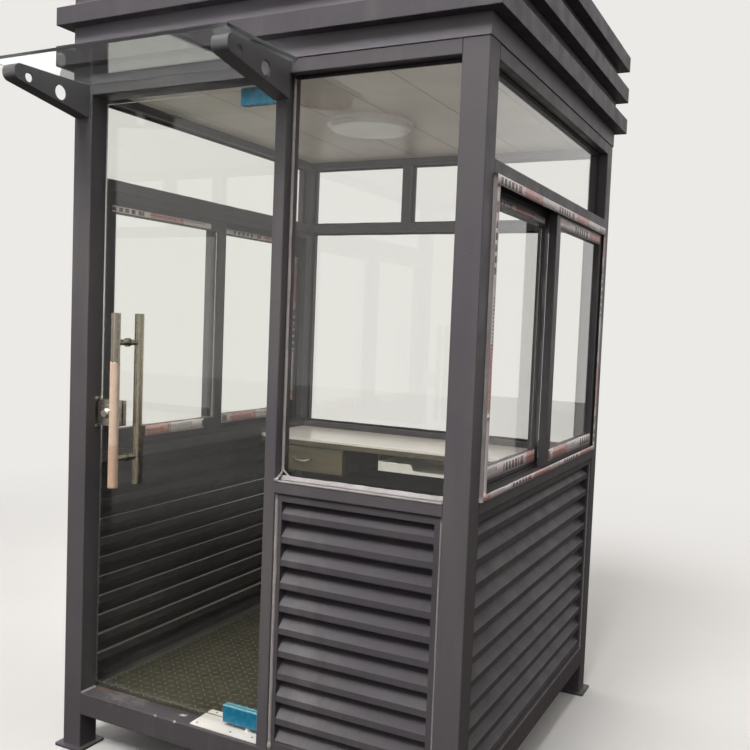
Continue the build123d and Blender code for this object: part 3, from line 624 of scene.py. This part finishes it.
def panes():
    """Each fixed pane as its two corners, its outward normal and the way
    along the wall, for both of its faces."""
    found = []
    for name in ("front_fixed_glass", "rear_fixed_glass"):
        low, high = corner(name), corner(name, True)
        for plane, out in ((low.y, -Y), (high.y, Y)):
            found.append((Vector((low.x, plane, low.z)), Vector((high.x, plane, high.z)), out, X))
    low, high = corner("side_transom_glass"), corner("side_transom_glass", True)
    for side, outer in ((-1, low.x), (1, high.x)):
        for plane, out in ((outer, X * side), (outer - side * pane_thickness, X * -side)):
            found.append((Vector((plane, low.y, low.z)), Vector((plane, high.y, high.z)), out, Y))
    low, high = corner("rear_transom_glass"), corner("rear_transom_glass", True)
    bars = corner("rear_upper_mullions"), corner("rear_upper_mullions", True)
    between = bars[0].x + rear_mullion_width, bars[1].x - rear_mullion_width
    for x0, x1 in ((low.x, bars[0].x), between, (bars[1].x, high.x)):
        for plane, out in ((low.y, -Y), (high.y, Y)):
            found.append((Vector((x0, plane, low.z)), Vector((x1, plane, high.z)), out, X))
    return found


pale, bright, dark = bmesh.new(), bmesh.new(), bmesh.new()
pane_bead, rubber_lip = bead_profile(0.011, 0.0045), bead_profile(0.009, 0.0045)
ledge_climb = 0.024  # how high the ledge's own sealant comes up the reveal
for number, (a, b, out, inward) in enumerate(panes()):
    # Sealant on the tall panes' outer left edge, rubber on all the others
    sealed = a.z < sill_high + 0.001 and out.y * (a.y - (front + rear) / 2) > 0
    sides = [
        (a.copy(), Vector((a.x, a.y, b.z)), inward, pale if sealed else dark),
        (Vector((b.x, b.y, a.z)), b, -inward, dark),
        (a, Vector((b.x, b.y, a.z)), Z, dark),
        (Vector((a.x, a.y, b.z)), b, -Z, dark),
    ]
    if out.y < 0 and sealed:
        sides[0][0].z += ledge_climb
    for side, (start, end, across, made) in enumerate(sides):
        profile = pane_bead if made is pale else rubber_lip
        strip(made, start, end, across, out, profile, ragged=0.12, seed=11 + number * 5 + side)

# The front ledge: sealant climbs the foot of the pane, covers the ledge and is
# smeared over the rail's face; more of it runs up the mullion's reveal.
pane_y, smear_y = corner("front_fixed_glass").y, front + 0.013
foot = [(0, sunk), (0, 0.0125), (0.0035, 0.011), (0.0065, 0.0055), (0.0105, 0.001), (0.0105, sunk)]
strip(bright, (mullion_right, pane_y, sill_high), (inner_right, pane_y, sill_high), -Y, Z, foot,
      ragged=0.12, seed=301, spacing=0.012)
smear = [(0, sunk), (0.002, 0.0008), (0.0125, 0.0011), (0.0138, 0), (0.0138, -0.005), (0.013, -0.005)]
strip(pale, (mullion_right + 0.008, smear_y, sill_high), (inner_right, smear_y, sill_high), -Y, Z, smear,
      ragged=0, seed=302, spacing=0.012)
strip(bright, (mullion_right, front + 0.001, sill_high), (mullion_right, pane_y, sill_high + 0.02), X, Z,
      bead_profile(0.008, 0.0065), ragged=0.3, seed=303, spacing=0.006)
blob(bright, Vector((mullion_right + 0.004, front + 0.002, sill_high + 0.002)), (0.008, 0.005, 0.0065))
strip(bright, (mullion_right + 0.002, pane_y, sill_high + 0.03), (mullion_right + 0.028, pane_y, sill_high + 0.01),
      X, -Y, bead_profile(0.007, 0.005), ragged=0.2, seed=304, spacing=0.006)

# Beads up both sides of each louvre panel, between its frame and the posts
panel_front = corner("front_louvre").y
panel_inset = 0.008  # how far the side and rear panels lie back from the posts' faces
wide_bead, middle_bead, thin_bead = bead_profile(0.012, 0.005), bead_profile(0.009, 0.005), bead_profile(0.006, 0.004)
upright_beads = [
    (mullion_right, panel_front, X, -Y, wide_bead, 401),
    (inner_right, panel_front, -X, -Y, thin_bead, 402),
]
for side, plane in ((-1, left + panel_inset), (1, right - panel_inset)):
    for y, across in ((inner_front, Y), (inner_rear, -Y)):
        upright_beads.append((plane, y, across, X * side, thin_bead, 410 + side + y))
for x, across in ((inner_left, X), (inner_right, -X)):
    upright_beads.append((x, rear - panel_inset, across, Y, middle_bead, 420 + x))
for x, y, across, out, profile, seed in upright_beads:
    strip(pale, (x, y, floor_top), (x, y, sill_low), across, out, profile, ragged=0.18, seed=seed)
blob(bright, Vector((mullion_right + 0.007, panel_front - 0.002, floor_top + 0.012)), (0.0085, 0.006, 0.014))

# Beads round the floor, at the foot of the door's post and beside the windows
floor_beads = bmesh.new()
floor_bead = bead_profile(0.012, 0.006)
left_foot, right_foot = (inner_left, inner_front, floor_top), (inner_right, inner_front, floor_top)
left_back, right_back = (inner_left, inner_rear, floor_top), (inner_right, inner_rear, floor_top)
walls = [(left_foot, left_back, X, 430), (right_foot, right_back, -X, 431), (left_back, right_back, -Y, 432)]
for start, end, across, seed in walls:
    strip(floor_beads, start, end, across, Z, floor_bead, ragged=0.25, seed=seed)
strip(pale, (inner_left, front + 0.001, floor_top), (inner_left, front + 0.062, floor_top), X, Z, wide_bead,
      ragged=0.2, seed=440, spacing=0.01)
# The windows' side beads fill the corner and lap over the frame. They take the lighter silicone, whose extra
# lightness is painted light standing in for the light that the posts' shadow keeps off them
lap = [(0, sunk), (0, 0.0086), (0.002, 0.009), (0.005, 0.0088), (0.009, 0.0055), (0.012, 0.0006), (0.012, sunk)]
lap_inset = 0.005
for side, name, wall in ((-1, "left", left), (1, "right", right)):
    low, high = corner(f"{name}_window_frame"), corner(f"{name}_window_frame", True)
    for y, out in ((low.y + lap_inset, -Y), (high.y - lap_inset, Y)):
        strip(bright, (wall, y, low.z), (wall, y, high.z), out, X * side, lap, ragged=0.06, seed=450 + side)
piece_from(pale, "sealant_beads", pale_silicone, "booth")
piece_from(bright, "ledge_sealant", lighter_silicone_partly_painted_light, "booth")
piece_from(floor_beads, "floor_sealant", floor_silicone, "booth")
piece_from(dark, "glazing_gaskets", gasket, "booth")


# Printed tape on the side windows

def window_tape(side, seed):
    """Tape on one side window: round the fixed frame outside, and along the
    rails of both sashes outside and inside."""
    made = bmesh.new()
    uv = made.loops.layers.uv.new("UVMap")
    name = "right" if side > 0 else "left"
    low, high = corner(f"{name}_window_frame"), corner(f"{name}_window_frame", True)
    sash_low, sash_high = corner(f"{name}_window_sashes"), corner(f"{name}_window_sashes", True)
    face = high.x if side > 0 else low.x
    outer = sash_high.x if side > 0 else sash_low.x
    back = sash_low.x if side > 0 else sash_high.x
    pitch = side * track_pitch
    wide, tall = high.y - low.y, high.z - low.z
    # The plane of each tape, its ends as distances along and up the frame, the
    # way across it, its width, the way that it faces and whether it is a plain
    # length without print: the frame's sides, then the sashes outside and inside
    runs = [
        (face, (0, 0), (wide, 0), Z, 0.019, side, False),
        (face, (0, tall), (wide, tall), -Z, 0.029, side, False),
        (face, (0.004, 0.24), (0.004, tall - 0.029), Y, 0.026, side, False),
        (face, (0.004, 0.019), (0.004, 0.24), Y, 0.026, side, True),
        (face, (wide - 0.004, 0.019), (wide - 0.004, tall - 0.029), -Y, 0.026, side, False),
        (outer - pitch, (0.03, 0.032), (0.66, 0.032), Z, 0.041, side, False),
        (outer - pitch, (0.03, 0.855), (0.65, 0.855), Z, 0.019, side, False),
        (outer, (0.69, 0.032), (1.3, 0.032), Z, 0.041, side, False),
        (outer, (0.69, 0.847), (1.3, 0.847), Z, 0.034, side, False),
        (back, (0.04, 0.85), (0.6, 0.85), Z, 0.022, -side, False),
        (back, (0.235, 0.032), (0.585, 0.032), Z, 0.04, -side, False),
        (back + pitch, (0.715, 0.85), (1.3, 0.85), Z, 0.022, -side, False),
        (back + pitch, (0.737, 0.032), (1.27, 0.032), Z, 0.04, -side, False),
        (back + pitch, (wide - 0.055, 0.1), (wide - 0.055, 0.8), Y, 0.03, -side, False),
    ]
    for number, (plane, start, end, across, width, way, plain) in enumerate(runs):
        profile = [(0, 0), (0, 0.0004), (width * 0.5, 0.0005), (width, 0.0004), (width, 0)]
        # Each tape starts elsewhere in the print, and a plain one lies beside it
        print_from = (0.24 * (number - 1), 2 if plain else 0)
        start, end = ((plane, low.y + y, low.z + z) for y, z in (start, end))
        strip(made, start, end, across, X * way, profile, ragged=0.05, seed=seed + number, spacing=0.015, uv=uv,
              print_from=print_from)
    piece_from(made, f"{name}_window_tape", tape, "booth")


window_tape(1, 501)
window_tape(-1, 551)


# Film still wrapped round the outer pull bar

def bar_film():
    """A tight sleeve over the lower part of the outer bar, doubled below the
    step, with ragged ends."""
    made = bmesh.new()
    radius = (bar_high.x - bar_low.x) / 2
    centre = Vector(((bar_low.x + bar_high.x) / 2, bar_low.y + radius, 0))
    around, steps = 32, 90
    rings = []
    for step in range(steps + 1):
        height = film_foot + (film_top - film_foot) * step / steps
        ring = []
        for k in range(around):
            turn = 2 * math.pi * k / around
            way = Vector((math.cos(turn), math.sin(turn), 0))
            # Loose folds about 3 cm apart, and the second layer below the step
            lift = 0.0003 + 0.0004 * max(0, noise.noise(way * 1.2 + Z * height * 30))
            lift += 0.0005 if height < film_step else 0
            ragged = 0.008 * noise.noise(way * 1.5) if step == steps else 0
            ring.append(made.verts.new(centre + way * (radius + lift) + Z * (height + ragged)))
        rings.append(ring)
    for a, b in zip(rings, rings[1:]):
        for k in range(around):
            made.faces.new([b[k], b[k - 1], a[k - 1], a[k]]).smooth = True
    piece = piece_from(made, "pull_bar_film", bar_wrap_film(), "door")
    thickness = piece.modifiers.new("film_thickness", "SOLIDIFY")
    thickness.thickness = 0.0003
    thickness.offset = 1


bar_film()


# Geometry Nodes for what repeats

def node_group(name, inputs):
    """A geometry tree with named number inputs, and the node that gives them."""
    tree = bpy.data.node_groups.new(name, "GeometryNodeTree")
    tree.interface.new_socket("Geometry", in_out="INPUT", socket_type="NodeSocketGeometry")
    for label, value in inputs.items():
        socket = tree.interface.new_socket(label, in_out="INPUT", socket_type="NodeSocketFloat")
        socket.default_value = value
    tree.interface.new_socket("Geometry", in_out="OUTPUT", socket_type="NodeSocketGeometry")
    return tree, add(tree, "NodeGroupInput")


def place_along_facing(tree, points, instance, axis):
    """Instances turned to the points' facing, made real, as the output."""
    facing = add(tree, "GeometryNodeInputNamedAttribute", {"Name": "facing"}, data_type="FLOAT_VECTOR")
    turn = add(tree, "FunctionNodeAlignRotationToVector", {"Vector": facing}, axis=axis)
    placed = add(tree, "GeometryNodeInstanceOnPoints", {"Points": points, "Instance": instance, "Rotation": turn})
    real = add(tree, "GeometryNodeRealizeInstances", {"Geometry": placed})
    add(tree, "NodeGroupOutput", {"Geometry": real})


def grow(name, tree, values, points, facing, body):
    """Runs a geometry tree on a set of points and keeps the plain mesh."""
    seeds = bpy.data.meshes.new(name + "_points")
    seeds.from_pydata([tuple(p) for p in points], [], [])
    attribute = seeds.attributes.new("facing", "FLOAT_VECTOR", "POINT")
    attribute.data.foreach_set("vector", [c for v in facing for c in v])
    carrier = linked(name + "_points", seeds)
    modifier = carrier.modifiers.new("repeat", "NODES")
    modifier.node_group = tree
    for item in tree.interface.items_tree:
        if item.item_type == "SOCKET" and item.in_out == "INPUT" and item.name in values:
            modifier[item.identifier] = values[item.name]
    bpy.context.view_layer.update()
    mesh = bpy.data.meshes.new_from_object(carrier.evaluated_get(bpy.context.evaluated_depsgraph_get()))
    mesh.name = name
    bpy.data.objects.remove(carrier)
    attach(linked(name, mesh), body)


def tread_tree():
    """One lens-shaped bar of the tread plate at each point."""
    tree, given = node_group("tread_bars", {"Length": 0.024, "Width": 0.006, "Height": 0.003})
    dome = add(tree, "GeometryNodeMeshUVSphere", {"Segments": 10, "Rings": 6, "Radius": 0.5})
    size = add(tree, "ShaderNodeCombineXYZ", {"X": given.outputs["Length"], "Y": given.outputs["Width"],
                                              "Z": given.outputs["Height"]})
    lens = add(tree, "GeometryNodeTransform", {"Geometry": dome, "Scale": size})
    smooth = add(tree, "GeometryNodeSetShadeSmooth", {"Geometry": lens})
    painted = add(tree, "GeometryNodeSetMaterial", {"Geometry": smooth, "Material": floor_enamel})
    place_along_facing(tree, given.outputs["Geometry"], painted, "X")
    return tree


# Rows over the floor, each bar square to its neighbours
tread_pitch, tread_margin = 0.03, 0.02
rows, columns = (int((reach - 2 * tread_margin) / tread_pitch) + 1
                 for reach in (inner_rear - inner_front, inner_right - inner_left))
tread_spots, tread_ways = [], []
for row in range(rows):
    for column in range(columns):
        tread_spots.append((inner_left + tread_margin + column * tread_pitch,
                            inner_front + tread_margin + row * tread_pitch, floor_top))
        tread_ways.append((1, 1, 0) if (row + column) % 2 else (1, -1, 0))
grow("floor_tread_bars", tread_tree(), {}, tread_spots, tread_ways, "booth")


def screw_tree(head_material, recess_shade_material):
    """A low domed head at each point, along its facing. Its cross recess is drawn as dark bars that stand just proud
    of the dome's top; their dark colour is painted shade.
    """
    tree, given = node_group("screw_heads", {"Radius": 0.004})
    radius = given.outputs["Radius"]
    dome = add(tree, "GeometryNodeMeshUVSphere", {"Segments": 16, "Rings": 8, "Radius": radius})
    head = add(tree, "GeometryNodeTransform", {"Geometry": dome, "Scale": (1, 1, 0.42)})
    head = add(tree, "GeometryNodeSetShadeSmooth", {"Geometry": head})
    head = add(tree, "GeometryNodeSetMaterial", {"Geometry": head, "Material": head_material})
    whole = add(tree, "GeometryNodeJoinGeometry", {"Geometry": head})
    # The recess's arms, as shares of the radius: length, width, height and rise
    length, width, height, rise = (
        add(tree, "ShaderNodeMath", {"Value": radius, "Value_001": share}, operation="MULTIPLY")
        for share in (1.1, 0.22, 0.12, 0.37))
    rise = add(tree, "ShaderNodeCombineXYZ", {"Z": rise})
    for x, y in ((length, width), (width, length)):
        size = add(tree, "ShaderNodeCombineXYZ", {"X": x, "Y": y, "Z": height})
        arm = add(tree, "GeometryNodeMeshCube", {"Size": size})
        arm = add(tree, "GeometryNodeTransform", {"Geometry": arm, "Translation": rise})
        arm = add(tree, "GeometryNodeSetMaterial", {"Geometry": arm, "Material": recess_shade_material})
        tree.links.new(arm.outputs["Geometry"], whole.inputs["Geometry"])
    place_along_facing(tree, given.outputs["Geometry"], whole, "Z")
    return tree


screw_steel = nodes["slide_runners"].material_slots[0].material
# The recess bars' dark colour is painted shade, standing in for the shade inside the recess
screws = screw_tree(screw_steel, smooth_coat("painted_shade_in_screw_recess", "#2b2826", "#35312e", "#403c39", 0.6))
cover_top = floor_top + 0.003  # the floor spring's cover plate
cover_places = [(0.574, 0.027), (0.706, 0.03), (0.787, 0.036), (0.585, 0.125), (0.69, 0.127), (0.805, 0.125)]
cover_points = [booth(x, y, cover_top) for x, y in cover_places]
grow("floor_cover_screws", screws, {"Radius": 0.0042}, cover_points, [Z] * len(cover_points), "booth")
strike_low, strike_high = corner("strike_plate"), corner("strike_plate", True)
strike_y = (strike_low.y + strike_high.y) / 2
screw_inset = 0.016  # from the strike plate's ends
strike_points = [(strike_high.x, strike_y, z) for z in (strike_low.z + screw_inset, strike_high.z - screw_inset)]
grow("strike_plate_screws", screws, {"Radius": 0.0038}, strike_points, [X] * len(strike_points), "booth")


# Floor, light and camera

def studio():
    """A pale floor, an even bright surround and soft lamps."""
    floor = bmesh.new()
    bmesh.ops.create_grid(floor, x_segments=8, y_segments=8, size=16)  # 32 m across
    ground = linked("studio_floor", mesh_from(floor, "studio_floor", studio_floor()))

    world = bpy.data.worlds.new("studio_surround")
    bpy.context.scene.world = world
    world.use_nodes = True
    tree = world.node_tree
    tree.nodes.clear()
    rays = add(tree, "ShaderNodeLightPath")
    seen = add(tree, "ShaderNodeMath", {"Value": rays.outputs["Is Camera Ray"],
                                        "Value_001": rays.outputs["Is Transmission Ray"]}, operation="MAXIMUM")
    seen = add(tree, "ShaderNodeMath", {"Value": rays.outputs["Is Glossy Ray"], "Value_001": seen},
               operation="MAXIMUM")
    # More light comes from overhead than from the sides, as on an overcast day
    way = add(tree, "ShaderNodeTexCoord").outputs["Generated"]
    height = add(tree, "ShaderNodeSeparateXYZ", {"Vector": way}).outputs["Z"]
    level = add(tree, "ShaderNodeMapRange", {"Value": height, "To Min": 0.27, "To Max": 0.78})
    lit = add(tree, "ShaderNodeBackground", {"Color": linear("#fbf8f6"), "Strength": level})
    shown = add(tree, "ShaderNodeBackground", {"Color": linear(surround_colour), "Strength": 1.0})
    mixed = add(tree, "ShaderNodeMixShader", {"Fac": seen, "Shader": lit, "Shader_001": shown})
    add(tree, "ShaderNodeOutputWorld", {"Surface": mixed})

    # Name, place, what it points at, size, spread in degrees and power
    lamps = [("key", (-0.4, -5.6, 8.9), (0, 0, 3.0), 4.5, 50, 122),
             ("front_fill", (0.5, -9.0, 3.0), (0, 0, 2.4), 4.0, 180, 28),
             ("side_fill", (-6.0, 2.0, 5.0), (0, 0, 1.4), 4.0, 180, 78)]
    for name, place, target, size, spread, power in lamps:
        data = bpy.data.lights.new(name, "AREA")
        data.shape = "SQUARE"
        data.size = size
        data.spread = math.radians(spread)
        data.energy = power
        lamp = linked(name, data)
        lamp.location = place
        lamp.rotation_euler = (Vector(target) - Vector(place)).to_track_quat("-Z", "Y").to_euler()


def camera():
    """The camera at the photograph's height, distance and angle, as solved from
    the booth's straight edges."""
    data = bpy.data.cameras.new("camera")
    data.sensor_width = 36
    data.lens = 41.845
    data.clip_end = 100
    seen_from = linked("camera", data)
    standpoint = Vector((1.57621, -2.83647, 1.54769))
    sideways = Vector((0.88972, 0.45483, 0.03911))
    upright = Vector((-0.06185, 0.03521, 0.99746))
    forward = Vector((-0.45230, 0.88988, -0.05946))
    turn = Matrix((sideways, upright, -forward)).transposed().to_4x4()
    seen_from.matrix_world = Matrix.Translation(standpoint) @ turn
    bpy.context.scene.camera = seen_from


studio()
camera()
bpy.context.scene.view_settings.view_transform = "Standard"
